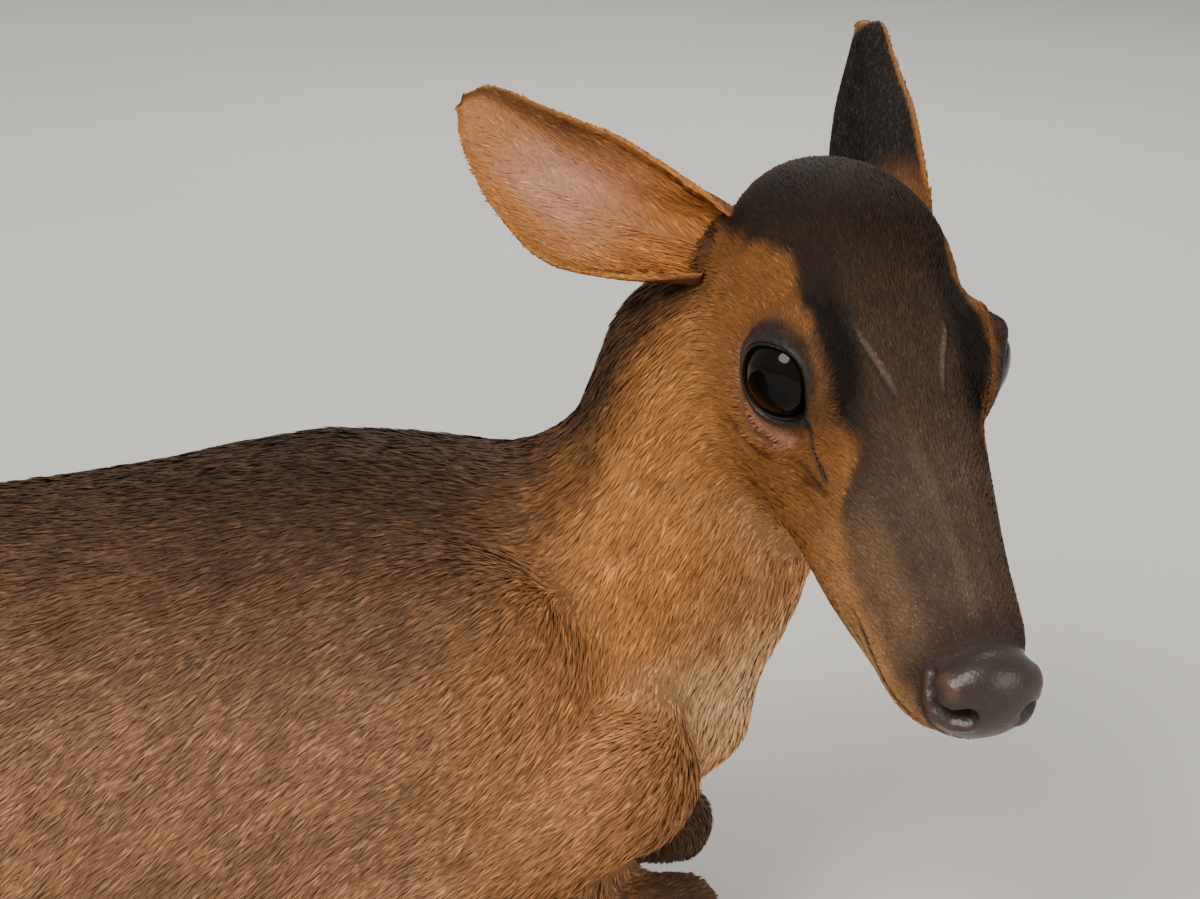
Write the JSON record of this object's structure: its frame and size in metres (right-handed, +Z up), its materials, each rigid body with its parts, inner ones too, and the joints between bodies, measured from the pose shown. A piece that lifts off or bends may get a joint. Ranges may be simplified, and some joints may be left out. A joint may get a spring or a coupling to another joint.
{
  "type": "muntjac",
  "caption": "Life-size still model of an adult female muntjac, a small deer, lying with folded legs and its head turned to the right.",
  "frame": {"origin": "middle of the model's footprint on the floor it lies on", "axes": "+X from the rump towards the breast, +Y to the animal's left side, +Z up from the floor"},
  "size_m": [0.5872, 0.2752, 0.2989],
  "materials": {
    "face": "short orange-brown hair",
    "coat": "short glossy brown hair",
    "leg": "very short dark hair",
    "ear": "thinly haired skin",
    "nose": "wet bare skin",
    "eye": "wet and clear",
    "horn": "worn hoof horn"
  },
  "bodies": {
    "root": {"head": "face", "nose": "nose", "eye_right": "eye", "eye_left": "eye", "ear_right": "ear", "ear_left": "ear", "neck": "face", "torso": "coat", "tail": "coat", "forearm_right": "coat", "forearm_left": "coat", "cannon_fore_right": "leg", "cannon_fore_left": "leg", "hoof_fore_right_a": "horn", "hoof_fore_right_b": "horn", "hoof_fore_left_a": "horn", "hoof_fore_left_b": "horn", "thigh_right": "coat", "thigh_left": "coat", "shank_right": "coat", "shank_left": "coat", "cannon_hind_right": "leg", "cannon_hind_left": "leg", "hoof_hind_right_a": "horn", "hoof_hind_right_b": "horn", "hoof_hind_left_a": "horn", "hoof_hind_left_b": "horn"}
  },
  "joints": []
}
